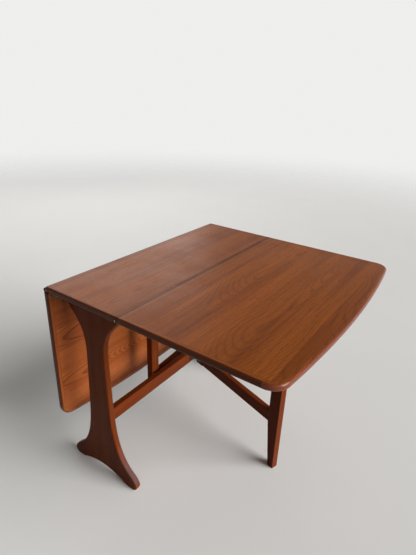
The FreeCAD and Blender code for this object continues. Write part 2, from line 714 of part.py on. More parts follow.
def gate_hinge_flap(on_gate, middle_z):
    """Flap on the gate (middle knuckle) or on the frame (top and bottom knuckles)."""
    low = middle_z - GATE_HINGE_HEIGHT / 2
    high = middle_z + GATE_HINGE_HEIGHT / 2
    third = GATE_HINGE_HEIGHT / 3
    gap = KNUCKLE_GAP / 2
    if on_gate:
        x0 = GATE_INNER_X - GATE_HINGE_PLATE
        inward = ACROSS
        face_x = x0
        spans = [(low + third + gap, high - third - gap)]
    else:
        x0 = STRETCHER_FACE_X
        inward = -ACROSS
        face_x = x0 + GATE_HINGE_PLATE
        spans = [(low, low + third - gap), (high - third + gap, high)]
    x1 = x0 + GATE_HINGE_PLATE
    pieces = [box(x0, x1, gate_y(GATE_HINGE_FLAP), gate_y(GATE_HINGE_WEB), low, high)]
    for start, end in spans:
        pieces.append(box(x0, x1, gate_y(GATE_HINGE_WEB + 1.0), gate_y(0), start, end))
        pieces.append(upright_rod(GATE_PIN_X, GATE_HINGE_Y, GATE_HINGE_KNUCKLE, start, end))
    holes = [upright_rod(GATE_PIN_X, GATE_HINGE_Y, GATE_HINGE_PIN + PIN_PLAY, 0, FAR)]
    for point in gate_hinge_screw_points(face_x, middle_z):
        holes.append(screw_hole(point, inward, SCREW_LENGTH))
    return less(joined(pieces), holes)


def gate_hinge_screws(on_gate, make):
    """Screws, or their holes, for the two hinges of one gate."""
    screws = []
    for middle_z in GATE_HINGE_ZS:
        if on_gate:
            for point in gate_hinge_screw_points(GATE_INNER_X - GATE_HINGE_PLATE, middle_z):
                screws.append(make(point, ACROSS, SCREW_LENGTH))
        else:
            for point in gate_hinge_screw_points(STRETCHER_FACE_X + GATE_HINGE_PLATE, middle_z):
                screws.append(make(point, -ACROSS, SCREW_LENGTH))
    return screws


def gate_hinge_pin(middle_z):
    low = middle_z - GATE_HINGE_HEIGHT / 2 - GATE_HINGE_PIN_PROUD
    high = middle_z + GATE_HINGE_HEIGHT / 2 + GATE_HINGE_PIN_PROUD
    return upright_rod(GATE_PIN_X, GATE_HINGE_Y, GATE_HINGE_PIN, low, high)


def make_gate(side):
    lower_rail = gate_rail(LOWER_RAIL_Z, LOWER_RAIL_TOP)
    upper_rail = gate_rail(UPPER_RAIL_Z, UPPER_RAIL_TOP)
    holes = gate_hinge_screws(True, screw_hole)
    pieces = {
        "stile": [less(gate_stile(), [lower_rail, upper_rail] + holes)],
        "leg": [less(gate_leg(), [lower_rail, upper_rail])],
        "lower_rail": [lower_rail],
        "upper_rail": [upper_rail],
        "hinge_flaps": [gate_hinge_flap(True, z) for z in GATE_HINGE_ZS],
        "hinge_screws": gate_hinge_screws(True, screw),
    }
    for name, shapes in pieces.items():
        save(side + "_gate_" + name, [placed_gate(shape, side) for shape in shapes])


def make_gate_hinge_frame_side():
    """Flaps, pins and screws of the gate hinges that stay with the frame."""
    flaps = [gate_hinge_flap(False, z) for z in GATE_HINGE_ZS]
    pins = [gate_hinge_pin(z) for z in GATE_HINGE_ZS]
    screws = gate_hinge_screws(False, screw)
    save("gate_hinge_frame_flaps", flaps + [to_left(shape) for shape in flaps])
    save("gate_hinge_pins", pins + [to_left(shape) for shape in pins])
    save("gate_hinge_frame_screws", screws + [to_left(shape) for shape in screws])


def main():
    os.makedirs("parts", exist_ok=True)
    make_centre_top()
    make_trestle_ends()
    make_rails()
    make_top_dowels()
    make_glue_blocks()
    make_leaf_hinge_frame_side()
    make_gate_hinge_frame_side()
    for side in ("right", "left"):
        make_leaf(side)
        make_gate(side)


main()
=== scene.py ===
"""Looks of a teak drop leaf table: lacquered wood, hinges, screws and a plain studio."""

import math
import random

import bmesh
import bpy
import numpy as np
from bpy.props import FloatProperty, FloatVectorProperty, IntProperty, PointerProperty
from bpy.types import Operator, Panel, PropertyGroup
from mathutils import Matrix, Vector


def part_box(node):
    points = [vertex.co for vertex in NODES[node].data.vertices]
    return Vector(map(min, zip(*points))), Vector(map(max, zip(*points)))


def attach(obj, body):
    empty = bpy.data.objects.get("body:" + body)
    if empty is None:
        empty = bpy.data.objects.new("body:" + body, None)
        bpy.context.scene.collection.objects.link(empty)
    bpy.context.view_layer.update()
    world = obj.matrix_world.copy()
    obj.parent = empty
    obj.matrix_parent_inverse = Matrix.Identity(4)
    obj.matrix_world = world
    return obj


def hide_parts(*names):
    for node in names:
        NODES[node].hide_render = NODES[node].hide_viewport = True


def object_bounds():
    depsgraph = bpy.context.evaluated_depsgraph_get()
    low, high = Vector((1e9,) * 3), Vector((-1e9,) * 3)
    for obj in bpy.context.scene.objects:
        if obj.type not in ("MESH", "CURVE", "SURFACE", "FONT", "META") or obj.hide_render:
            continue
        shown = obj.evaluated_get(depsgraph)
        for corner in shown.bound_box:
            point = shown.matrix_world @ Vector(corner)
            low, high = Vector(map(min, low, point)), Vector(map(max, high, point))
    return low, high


bl_info = {
    "name": "Teak Drop Leaf Table",
    "version": (1, 0, 0),
    "blender": (4, 5, 0),
    "location": "3D View > Sidebar > Drop Leaf Table",
    "description": "Finishes the wood, hinges and screws of a gateleg drop leaf table",
    "category": "Object",
}

SEED = 11

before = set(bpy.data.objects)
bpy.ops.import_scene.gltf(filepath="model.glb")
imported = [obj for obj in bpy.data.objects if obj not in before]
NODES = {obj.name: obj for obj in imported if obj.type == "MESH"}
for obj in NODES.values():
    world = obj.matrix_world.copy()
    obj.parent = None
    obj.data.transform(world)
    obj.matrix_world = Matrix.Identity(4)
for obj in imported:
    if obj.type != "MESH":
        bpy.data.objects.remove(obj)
cad_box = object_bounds()

X_AXIS = Vector((1, 0, 0))
Y_AXIS = Vector((0, 1, 0))
Z_AXIS = Vector((0, 0, 1))


# ---------------------------------------------------------------- settings
def colour_setting(name, description, default):
    return FloatVectorProperty(name=name, description=description, default=default,
                               subtype="COLOR", size=3, min=0.0, max=1.0)


def length_setting(name, description, default):
    return FloatProperty(name=name, description=description, default=default,
                         unit="LENGTH", subtype="DISTANCE", min=0.0)


def angle_setting(name, description, degrees):
    return FloatProperty(name=name, description=description, default=math.radians(degrees),
                         subtype="ANGLE", unit="ROTATION")


def place_setting(name, description, default):
    return FloatVectorProperty(name=name, description=description, default=default,
                               subtype="TRANSLATION", unit="LENGTH", size=3)


def plain_setting(name, description, default, unit="NONE"):
    return FloatProperty(name=name, description=description, default=default, unit=unit, min=0.0)


class TableWoodSettings(PropertyGroup):
    """Colours and grain sizes of the teak."""

    top_light: colour_setting("Top, light", "Early wood of the show veneer", (0.275, 0.071, 0.009))
    top_mid: colour_setting("Top, middle", "Body colour of the show veneer", (0.195, 0.046, 0.006))
    top_dark: colour_setting("Top, dark", "Late wood of the show veneer", (0.070, 0.015, 0.004))
    under_light: colour_setting("Underside, light", "Early wood below", (0.480, 0.134, 0.034))
    under_mid: colour_setting("Underside, middle", "Body colour below", (0.370, 0.090, 0.022))
    under_dark: colour_setting("Underside, dark", "Late wood below", (0.110, 0.022, 0.006))
    edge_light: colour_setting("Lipping, light", "Light grain, outer lipping", (0.200, 0.045, 0.012))
    edge_mid: colour_setting("Lipping, middle", "Body colour, outer lipping", (0.150, 0.030, 0.009))
    edge_dark: colour_setting("Lipping, dark", "Dark grain, outer lipping", (0.060, 0.012, 0.004))
    # The end palette is painted shade: it colours the rims of the end lippings darker, as their
    # shaded side.
    end_light: colour_setting("End, light", "Light grain, end lippings", (0.115, 0.029, 0.010))
    end_mid: colour_setting("End, middle", "Body colour, end lippings", (0.082, 0.019, 0.007))
    end_dark: colour_setting("End, dark", "Dark grain, end lippings", (0.035, 0.008, 0.004))
    frame_light: colour_setting("Frame, light", "Light grain, legs, rails", (0.200, 0.042, 0.008))
    frame_mid: colour_setting("Frame, middle", "Body colour, legs, rails", (0.142, 0.026, 0.005))
    frame_dark: colour_setting("Frame, dark", "Dark grain, legs, rails", (0.065, 0.011, 0.003))
    # The glue line's colour also paints the shadow at the rule joints.
    glue_line_and_joint_shadow: colour_setting("Glue line", "Dark line where two pieces meet", (0.022, 0.008, 0.004))
    lacquer: colour_setting("Lacquer", "Amber cast of the lacquer's sheen", (1.0, 0.74, 0.58))
    # Greyish pink of a painted sheen on the upper side of the feet.
    painted_toe_sheen: colour_setting("Toe sheen", "Kicked toes, where the lacquer is dull", (0.085, 0.048, 0.045))
    bare_wood: colour_setting("Bare wood", "Blocks and dowels out of sight", (0.36, 0.19, 0.08))
    ring_spacing: length_setting("Ring spacing", "Distance between two growth rings", 0.0038)
    ring_wander: length_setting("Ring wander", "How far the rings stray", 0.030)
    arches: plain_setting("Arches", "How closely the arched figure is stacked", 22.0)
    sheet_width: length_setting("Sheet width", "Width of one sheet of veneer", 0.200)
    glue_width: length_setting("Glue line width", "Width of the dark joint line", 0.0010)
    roughness: FloatProperty(name="Lacquer roughness", description="Satin sheen of the lacquer",
                             default=0.36, min=0.05, max=1.0)


class TableMetalSettings(PropertyGroup):
    """Hinges and screws."""

    brass: colour_setting("Brass", "Hinge flaps and screws", (0.34, 0.20, 0.08))
    tarnish: colour_setting("Tarnish", "Dull brown film on old brass", (0.060, 0.028, 0.012))
    steel: colour_setting("Steel", "Hinge pins and long screws", (0.56, 0.55, 0.53))
    slot_width: length_setting("Slot width", "Width of a screw's slot", 0.0010)
    slot_depth: length_setting("Slot depth", "Depth of a screw's slot", 0.0009)
    head_sides: IntProperty(name="Head sides", description="Facets round a screw head",
                            default=40, min=12, max=96)


class TableStudioSettings(PropertyGroup):
    """Floor, light and camera."""

    floor: colour_setting("Floor", "Pale studio floor", (0.66, 0.65, 0.63))
    floor_reach: length_setting("Floor reach", "Where the floor fades into the backdrop", 9.0)
    bounce: colour_setting("Floor bounce", "What the floor throws back up", (0.14, 0.11, 0.09))
    backdrop: colour_setting("Backdrop", "What the camera sees past the floor", (0.86, 0.86, 0.85))
    ceiling: colour_setting("Ceiling", "Dim ceiling that the lacquer mirrors", (0.10, 0.10, 0.10))
    ambient: colour_setting("Ambient", "Soft light from all round", (1.0, 0.99, 0.97))
    ambient_strength: plain_setting("Ambient strength", "Soft light from all round", 0.165)
    key_strength: plain_setting("Key strength", "Broad lamp on the raised leaf's side", 3.3)
    key_height: angle_setting("Key height", "Angle of the key light above level", 33.0)
    key_heading: angle_setting("Key heading", "Turn of the key light from +X to +Y", 16.0)
    key_spread: angle_setting("Key spread", "Apparent width of the key light", 40.0)
    low_strength: plain_setting("Low key strength", "Lamp that shines under the leaf", 2.4)
    low_height: angle_setting("Low key height", "Angle of the low lamp above level", 10.0)
    low_heading: angle_setting("Low key heading", "Turn of the low lamp from +X to +Y", 2.0)
    low_spread: angle_setting("Low key spread", "Apparent width of the low lamp", 30.0)
    panel_power: plain_setting("Panel power", "Soft panel behind the dropped leaf", 36.0, "POWER")
    panel_place: place_setting("Panel place", "Middle of the soft panel", (-3.4, 2.4, 2.5))
    panel_width: length_setting("Panel width", "Level side of the soft panel", 3.2)
    panel_depth: length_setting("Panel depth", "Other side of the soft panel", 2.2)
    camera_place: place_setting("Camera place", "Camera position", (0.9293, -1.1450, 1.3006))
    camera_heading: angle_setting("Camera heading", "Turn from +X towards +Y", 124.229)
    camera_pitch: angle_setting("Camera pitch", "Tilt below level", 24.094)
    camera_roll: angle_setting("Camera roll", "Turn about the line of sight", -2.178)
    camera_lens: FloatProperty(name="Lens", description="Focal length in millimetres",
                               default=27.37, min=1.0)


# ---------------------------------------------------------------- node tree helpers
def put(tree, kind, inputs=None, **settings):
    """A node with its settings and its inputs, which are values or other nodes' outputs."""
    node = tree.nodes.new(kind)
    for key, value in settings.items():
        setattr(node, key, value)
    for key, value in (inputs or {}).items():
        socket = node.inputs[key]
        if isinstance(value, bpy.types.NodeSocket):
            tree.links.new(value, socket)
        else:
            socket.default_value = value
    return node


def vector_maths(tree, operation, first, second=(0.0, 0.0, 0.0)):
    """The outcome of a vector sum, which is a number for a length and a dot product."""
    node = put(tree, "ShaderNodeVectorMath", {0: first, 1: second}, operation=operation)
    return node.outputs["Value" if operation in ("LENGTH", "DOT_PRODUCT") else "Vector"]


def added(tree, vector, other):
    return vector_maths(tree, "ADD", vector, other)


def scaled(tree, vector, by):
    """A vector times three numbers."""
    return vector_maths(tree, "MULTIPLY", vector, by)


def times(tree, vector, by):
    """A vector times one number."""
    node = put(tree, "ShaderNodeVectorMath", {0: vector, "Scale": by}, operation="SCALE")
    return node.outputs["Vector"]


def along_axis(tree, vector, axis):
    """One coordinate of a vector."""
    return put(tree, "ShaderNodeSeparateXYZ", {"Vector": vector}).outputs[axis]


def coordinates(tree, kind):
    return tree.nodes.new("ShaderNodeTexCoord").outputs[kind]


def maths(tree, operation, first, second=0.0, clamp=False):
    """The outcome of a sum; it serves shader trees and geometry trees alike."""
    node = put(tree, "ShaderNodeMath", {0: first, 1: second}, operation=operation, use_clamp=clamp)
    return node.outputs["Value"]


def multiply_add(tree, value, by, plus):
    node = put(tree, "ShaderNodeMath", {0: value, 1: by, 2: plus}, operation="MULTIPLY_ADD")
    return node.outputs["Value"]


def noise(tree, vector, scale=1.0, detail=2.0, roughness=0.5, distortion=0.0):
    node = put(tree, "ShaderNodeTexNoise", {
        "Vector": vector, "Scale": scale, "Detail": detail,
        "Roughness": roughness, "Distortion": distortion})
    return node.outputs


def remapped(tree, value, low, high, to_low=0.0, to_high=1.0, smooth=True):
    """A value taken from one span to another and held inside it."""
    node = put(tree, "ShaderNodeMapRange", {
        "Value": value, "From Min": low, "From Max": high,
        "To Min": to_low, "To Max": to_high},
        interpolation_type="SMOOTHSTEP" if smooth else "LINEAR")
    return node.outputs["Result"]


def blended(tree, factor, first, second, how="MIX"):
    """Two colours mixed by a factor."""
    node = put(tree, "ShaderNodeMix", data_type="RGBA", blend_type=how)
    sockets = (node.inputs[0], node.inputs[6], node.inputs[7])
    for socket, value in zip(sockets, (factor, first, second)):
        if isinstance(value, bpy.types.NodeSocket):
            tree.links.new(value, socket)
        elif socket.type == "RGBA":
            socket.default_value = (*value[:3], 1.0)
        else:
            socket.default_value = value
    return node.outputs[2]


def grey(tree, value):
    node = put(tree, "ShaderNodeCombineColor", {"Red": value, "Green": value, "Blue": value})
    return node.outputs["Color"]


def shader_group(name, inputs, outputs):
    """An empty shader node group with named sockets."""
    tree = bpy.data.node_groups.new(name, "ShaderNodeTree")
    for label, kind, default in inputs:
        socket = tree.interface.new_socket(label, in_out="INPUT", socket_type=kind)
        if default is not None:
            socket.default_value = default
    for label, kind in outputs:
        tree.interface.new_socket(label, in_out="OUTPUT", socket_type=kind)
    return tree, tree.nodes.new("NodeGroupInput").outputs, tree.nodes.new("NodeGroupOutput").inputs


def placed_group(tree, group, inputs):
    """A group put to use, and its outputs."""
    node = tree.nodes.new("ShaderNodeGroup")
    node.node_tree = group
    for key, value in inputs.items():
        socket = node.inputs[key]
        if isinstance(value, bpy.types.NodeSocket):
            tree.links.new(value, socket)
        else:
            socket.default_value = (*value[:3], 1.0) if socket.type == "RGBA" else value
    return node.outputs


# ---------------------------------------------------------------- shared effects
# How often each feature of the grain repeats in a metre: across the board, through it, along it.
DRIFT = (3.0, 3.0, 1.6)
WOBBLE = (45.0, 45.0, 5.0)
CROWDING = (9.0, 9.0, 9.0)
TAPERING = (0.8, 0.8, 1.5)
STREAKS = (14.0, 14.0, 0.6)
FIBRES = (300.0, 300.0, 4.0)
PORES = (1100.0, 1100.0, 60.0)

# How the noise behind each feature is stretched to full contrast.
STREAK_CONTRAST = (0.34, 0.66)
FIBRE_CONTRAST = (0.32, 0.68)
PORE_CONTRAST = (0.60, 0.70)

FLOAT = "NodeSocketFloat"
ROUND_PITH = (1.0, 1.0, 0.0)        # leaves out the distance along the log
CENTRED = (-0.5, -0.5, -0.5)        # brings noise from 0..1 to either side of zero
SHEET_MOVE = (0.07, 0.02, 0.9)      # how far a sheet of veneer may lie from its log's pith
DRIFT_REACH = (0.8, 1.3, 0.0)       # shares of the ring wander
WOBBLE_REACH = (0.0016, 0.0006, 0.0)
LOG_LEAN = (math.radians(4.0), math.radians(1.2), 0.0)
CROWDED_RINGS = 2.5                 # rings gained or lost where the log grew unevenly
LATE_WOOD_START = 0.50              # share of a year's growth
LATE_WOOD_PEAK = 0.86
WIDEST_SHEET = 1.0                  # anything wider is solid wood
SOLID = 9.0                         # the sheet width given to solid wood


def teak_grain_group():
    """Growth rings, broad streaks, fibre and pores; Z of the vector runs along the grain."""
    tree, given, made = shader_group(
        "Teak grain",
        [("Vector", "NodeSocketVector", None), ("Ring spacing", FLOAT, 0.0038),
         ("Wander", FLOAT, 0.030), ("Taper", FLOAT, 22.0), ("Sheet width", FLOAT, SOLID)],
        [(name, FLOAT) for name in ("Rings", "Streaks", "Fibre", "Pores", "Sheet")])
    place = given["Vector"]

    # Each sheet of veneer lies over its own part of the log.
    across = along_axis(tree, place, "X")
    number = maths(tree, "FLOOR", maths(tree, "DIVIDE", across, given["Sheet width"]))
    dealt = put(tree, "ShaderNodeTexWhiteNoise", {"W": number}, noise_dimensions="1D")
    tree.links.new(dealt.outputs["Value"], made["Sheet"])
    middle = maths(tree, "MULTIPLY", maths(tree, "ADD", number, 0.5), given["Sheet width"])
    own = put(tree, "ShaderNodeCombineXYZ", {"X": maths(tree, "MULTIPLY", middle, -1.0)})
    shift = scaled(tree, added(tree, dealt.outputs["Color"], CENTRED), SHEET_MOVE)
    many_sheets = maths(tree, "LESS_THAN", given["Sheet width"], WIDEST_SHEET)
    move = times(tree, added(tree, own.outputs["Vector"], shift), many_sheets)
    place = added(tree, place, move)

    # The rings are circles round the pith, drawn out of true by how the tree grew.
    drift = noise(tree, scaled(tree, place, DRIFT), detail=1.0, roughness=0.4)["Color"]
    sideways = scaled(tree, added(tree, drift, CENTRED), DRIFT_REACH)
    wander = times(tree, sideways, given["Wander"])
    wobble = noise(tree, scaled(tree, place, WOBBLE), detail=2.0)["Color"]
    wobble = scaled(tree, added(tree, wobble, CENTRED), WOBBLE_REACH)
    strayed = added(tree, added(tree, place, wander), wobble)
    leaning = put(tree, "ShaderNodeMapping", {"Vector": strayed, "Rotation": LOG_LEAN})
    flat = scaled(tree, leaning.outputs["Vector"], ROUND_PITH)
    radius = vector_maths(tree, "LENGTH", flat)
    crowding = noise(tree, scaled(tree, flat, CROWDING), detail=1.0)["Fac"]
    years = maths(tree, "DIVIDE", radius, given["Ring spacing"])
    years = maths(tree, "ADD", years, maths(tree, "MULTIPLY", crowding, CROWDED_RINGS))
    taper = noise(tree, scaled(tree, place, TAPERING), detail=1.0, roughness=0.4)["Fac"]
    years = maths(tree, "ADD", years, maths(tree, "MULTIPLY", taper, given["Taper"]))
    year = maths(tree, "FRACT", years)
    rise = remapped(tree, year, LATE_WOOD_START, LATE_WOOD_PEAK)
    fall = remapped(tree, year, LATE_WOOD_PEAK, 1.0, 1.0, 0.0)
    tree.links.new(maths(tree, "MULTIPLY", rise, fall), made["Rings"])

    broad = noise(tree, scaled(tree, place, STREAKS), detail=2.0, roughness=0.5)["Fac"]
    tree.links.new(remapped(tree, broad, *STREAK_CONTRAST), made["Streaks"])
    fibre = noise(tree, scaled(tree, place, FIBRES), detail=4.0, roughness=0.65)["Fac"]
    tree.links.new(remapped(tree, fibre, *FIBRE_CONTRAST), made["Fibre"])
    pore = noise(tree, scaled(tree, place, PORES), detail=1.0)["Fac"]
    tree.links.new(remapped(tree, pore, *PORE_CONTRAST), made["Pores"])
    return tree


LINE_CORE = 0.35        # share of a glue line's width that is fully dark


def glue_line_group():
    """A thin line where a distance passes zero."""
    tree, given, made = shader_group(
        "Glue line",
        [("Distance", FLOAT, 1.0), ("Width", FLOAT, 0.001)],
        [("Line", FLOAT)])
    away = maths(tree, "ABSOLUTE", given["Distance"])
    share = maths(tree, "DIVIDE", away, given["Width"])
    tree.links.new(remapped(tree, share, LINE_CORE, 1.0, 1.0, 0.0), made["Line"])
    return tree


# How far a face's direction agrees with its surroundings, from a rubbed edge to an open face.
EDGE_TO_FACE = (0.90, 0.998)
PATCH_CONTRAST = (0.38, 0.62)
LEAST_RUBBED = 0.35
FILM_CONTRAST = (0.30, 0.70)


def handling_group():
    """Rubbed edges, which also carry a painted highlight, and a faint uneven film over the lacquer.
    """
    tree, given, made = shader_group(
        "Handling",
        [("Vector", "NodeSocketVector", None), ("Radius", FLOAT, 0.0025)],
        [("Rubbed and highlit", FLOAT), ("Film", FLOAT)])
    eased = put(tree, "ShaderNodeBevel", {"Radius": given["Radius"]}, samples=4).outputs["Normal"]
    plain = tree.nodes.new("ShaderNodeNewGeometry").outputs["Normal"]
    agreement = vector_maths(tree, "DOT_PRODUCT", eased, plain)
    edge = remapped(tree, agreement, *EDGE_TO_FACE, 1.0, 0.0)
    patchy = noise(tree, given["Vector"], scale=24.0, detail=3.0)["Fac"]
    patchy = remapped(tree, patchy, *PATCH_CONTRAST, LEAST_RUBBED, 1.0)
    tree.links.new(maths(tree, "MULTIPLY", edge, patchy), made["Rubbed and highlit"])
    film = noise(tree, given["Vector"], scale=7.0, detail=4.0, roughness=0.6)["Fac"]
    tree.links.new(remapped(tree, film, *FILM_CONTRAST), made["Film"])
    return tree


def shared(name, maker):
    """A node group by name, made the first time it is wanted."""
    return bpy.data.node_groups.get(name) or maker()


# ---------------------------------------------------------------- wood
# Ring spacing of a board as a multiple of the setting.
BROAD = 2.0
USUAL = 1.0
RAIL = 0.6
BLOCK = 0.5
DOWEL = 0.3

# How dark the rings are drawn, by palette.
RING_DEPTH = {"top": 0.30, "under": 0.62, "frame": 0.16, "bare": 0.35, "edge": 0.20, "end": 0.20}
FIBRE_TONE = (0.80, 1.14)       # darkest and lightest fibre, as shares of the wood's tone
SHEET_TONE = (0.90, 1.08)       # darkest and lightest sheet of veneer
PORE_DEPTH = 0.55
BARE_TONES = (1.15, 1.0, 0.6)   # light, middle and dark, as shares of the bare wood's colour

UNDERSIDE = (0.55, 0.75)        # where the back's colour takes over, as shares of the thickness
GLUE_DEPTH = 0.45
RIM = (0.90, 0.995)             # agreement with the show face, from rim to flat
# Painted shadow at the rule joints, with their dark edges, drawn on these strips.
JOINT_EDGES = ("centre_top_left_edge", "centre_top_right_edge", "right_leaf_rule_edge")
STREAK_OFFSET = 0.004           # the dark streak lies this far inside the joint line
STREAK_SPAN = (0.003, 0.011)
STREAK_DEPTH = (0.30, 0.65)
LINE_SPAN = (0.001, 0.004)
LINE_DEPTH = 0.85
TOE_SHEEN_HEIGHT = (0.07, 0.20)    # the painted sheen reaches this high
TOE_SHEEN_SLOPE = (0.15, 0.50)     # upward part of the face's direction
TOE_SHEEN_DEPTH = (0.55, 0.95)

EDGE_RADIUS = 0.0025            # how far in from an edge the lacquer is rubbed and the painted highlight reaches
FOOT_RADIUS = 0.006
# Edges lightened towards the wood's light tone: wear and a painted highlight.
RUBBED_AND_HIGHLIT_VENEERED = 0.22
RUBBED_AND_HIGHLIT_SOLID = 0.35
BARE_ROUGHNESS = 0.62
FILM_ROUGHNESS = (-0.05, 0.07)
PORE_ROUGHNESS = 0.12
FIBRE_RELIEF = 0.35
RELIEF = {"Strength": 0.30, "Distance": 0.00012}
SHEEN_VENEERED = 0.16
SHEEN_SOLID = 0.05
POLISH_RUBBED = 0.5             # coat gained where hands have polished an edge
POLISH_OUTER = 0.40
POLISH_ELSEWHERE = 0.03
POLISH_ROUGHNESS = 0.18

PITH_ACROSS = (-0.09, 0.09)     # where the heart of the log may lie, from the board's middle
PITH_DEEP = (0.03, 0.06)
PITH_ALONG = (-0.6, 0.6)

BOW_MIDDLE = 0.85               # share of a panel's width that is clear of its corners
BOW_DEPTH = 0.03                # the bowed edge lies within this of the panel's furthest reach


class Board:
    """How one wooden piece was sawn: which way its grain and its face point, and its colours."""

    def __init__(self, node, palette, grain, face, rings=USUAL, log=None, side="end"):
        self.node = node
        self.palette = palette
        self.side = side
        self.grain = grain
        self.face = face
        self.rings = rings
        self.log = log or node
        self.on_floor = node.endswith("trestle_end") or node.endswith("gate_leg")


def middle_of(node):
    low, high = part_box(node)
    return (low + high) / 2


def gate_direction(side):
    """Level direction from a gate's stile to its leg."""
    run = middle_of(side + "_gate_leg") - middle_of(side + "_gate_stile")
    run.z = 0.0
    return run.normalized()


def boards():
    """Every wooden node and how it was sawn."""
    listed = [
        Board("centre_top_panel", "top", Y_AXIS, Z_AXIS, BROAD),
        Board("centre_top_right_edge", "top", Y_AXIS, Z_AXIS, BROAD, log="centre_top_panel"),
        Board("centre_top_left_edge", "top", Y_AXIS, Z_AXIS, BROAD, log="centre_top_panel"),
        Board("centre_top_near_lipping", "top", X_AXIS, Z_AXIS),
        Board("centre_top_far_lipping", "top", X_AXIS, Z_AXIS),
        Board("top_dowels", "bare", Z_AXIS, X_AXIS, DOWEL),
        Board("near_trestle_end", "frame", Z_AXIS, Y_AXIS),
        Board("far_trestle_end", "frame", Z_AXIS, Y_AXIS),
        Board("stretcher", "frame", Y_AXIS, X_AXIS, RAIL),
        Board("top_bearer", "frame", Y_AXIS, X_AXIS, RAIL),
        Board("near_glue_block", "bare", X_AXIS, Y_AXIS, BLOCK),
        Board("far_glue_block", "bare", X_AXIS, Y_AXIS, BLOCK),
    ]
    for side, across, face, rings in (("right", X_AXIS, Z_AXIS, BROAD),
                                      ("left", Z_AXIS, X_AXIS, USUAL)):
        panel = side + "_leaf_panel"
        listed.append(Board(panel, "top", Y_AXIS, face, rings))
        listed.append(Board(side + "_leaf_rule_edge", "top", Y_AXIS, face, rings, log=panel))
        listed.append(Board(side + "_leaf_near_lipping", "top", across, face))
        listed.append(Board(side + "_leaf_far_lipping", "top", across, face))
        listed.append(Board(side + "_leaf_outer_lipping", "top", Y_AXIS, face, side="edge"))
        listed.append(Board(side + "_leaf_gate_stop", "bare", Y_AXIS, face, BLOCK))
        along = gate_direction(side)
        beside = along.cross(Z_AXIS)
        listed.append(Board(side + "_gate_stile", "frame", Z_AXIS, beside, RAIL))
        listed.append(Board(side + "_gate_leg", "frame", Z_AXIS, beside, RAIL))
        listed.append(Board(side + "_gate_lower_rail", "frame", along, beside, RAIL))
        listed.append(Board(side + "_gate_upper_rail", "frame", along, beside, RAIL))
    return listed


def grain_placement(tree, board, piths):
    """Object coordinates turned so that X is across the board, Y its face and Z its grain."""
    across = board.face.cross(board.grain).normalized()
    turn = Matrix((across, board.face, board.grain)).to_4x4()
    shift = piths[board.log] - turn @ middle_of(board.log)
    spot = coordinates(tree, "Object")
    mapping = put(tree, "ShaderNodeMapping", {
        "Vector": spot, "Rotation": turn.to_euler(), "Location": shift})
    return spot, mapping.outputs["Vector"]


def draw_piths():
    """Where the heart of the log lay beside each board; pieces of one log share it."""
    chance = random.Random(SEED)
    piths = {}
    for board in boards():
        if board.log not in piths:
            piths[board.log] = Vector((chance.uniform(*PITH_ACROSS), chance.uniform(*PITH_DEEP),
                                       chance.uniform(*PITH_ALONG)))
    return piths


def palette_of(wood, name):
    """Light, middle and dark tone of a palette."""
    if name == "bare":
        return [Vector(wood.bare_wood) * share for share in BARE_TONES]
    return [getattr(wood, name + shade) for shade in ("_light", "_mid", "_dark")]


def grain_colour(tree, grain, wood, palette):
    """Light, middle and dark tones laid over each other by the grain masks."""
    light, middle, dark = palette_of(wood, palette)
    body = blended(tree, grain["Streaks"], middle, light)
    ringed = blended(tree, maths(tree, "MULTIPLY", grain["Rings"], RING_DEPTH[palette]), body, dark)
    fibre = remapped(tree, grain["Fibre"], 0.0, 1.0, *FIBRE_TONE, smooth=False)
    lined = blended(tree, 1.0, ringed, grey(tree, fibre), "MULTIPLY")
    tone = remapped(tree, grain["Sheet"], 0.0, 1.0, *SHEET_TONE, smooth=False)
    toned = blended(tree, 1.0, lined, grey(tree, tone), "MULTIPLY")
    return blended(tree, maths(tree, "MULTIPLY", grain["Pores"], PORE_DEPTH), toned, dark)


def underside_mask(tree, spot, board):
    """0 on a board's show face, 1 on its back."""
    low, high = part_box(board.node)
    hanging = abs(board.face.x) > 0.5
    place = along_axis(tree, spot, "X" if hanging else "Z")
    start, end = UNDERSIDE
    if hanging:
        thick = high.x - low.x
        return remapped(tree, place, low.x + thick * start, low.x + thick * end)
    thick = high.z - low.z
    return remapped(tree, place, high.z - thick * end, high.z - thick * start, 1.0, 0.0)


def joint_shadow_and_dark_edges(tree, spot, film):
    """Painted shadow of the rule joints, with their dark edges: a dark streak beside each joint and
    a darker line in the joint itself.
    """
    across = maths(tree, "ABSOLUTE", along_axis(tree, spot, "X"))
    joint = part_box("centre_top_right_edge")[1].x
    away = maths(tree, "ABSOLUTE", maths(tree, "SUBTRACT", across, joint - STREAK_OFFSET))
    near = remapped(tree, away, *STREAK_SPAN, 1.0, 0.0)
    streak = maths(tree, "MULTIPLY", near, remapped(tree, film, 0.0, 1.0, *STREAK_DEPTH))
    to_line = maths(tree, "ABSOLUTE", maths(tree, "SUBTRACT", across, joint))
    line = remapped(tree, to_line, *LINE_SPAN, LINE_DEPTH, 0.0)
    return maths(tree, "MAXIMUM", streak, line)


def painted_toe_sheen_mask(tree, spot, film):
    """Painted sheen on the upper side of the feet: a greyish pink on low faces that point up."""
    low_down = remapped(tree, along_axis(tree, spot, "Z"), *TOE_SHEEN_HEIGHT, 1.0, 0.0)
    upward = along_axis(tree, coordinates(tree, "Normal"), "Z")
    on_top = maths(tree, "MULTIPLY", low_down, remapped(tree, upward, *TOE_SHEEN_SLOPE))
    return maths(tree, "MULTIPLY", on_top, remapped(tree, film, 0.0, 1.0, *TOE_SHEEN_DEPTH))


def rim_mask(tree, board):
    """1 on the rim of a board, 0 on its show face and its back."""
    lean = vector_maths(tree, "DOT_PRODUCT", coordinates(tree, "Normal"), board.face)
    flat = maths(tree, "ABSOLUTE", lean)
    return remapped(tree, flat, *RIM, 1.0, 0.0)


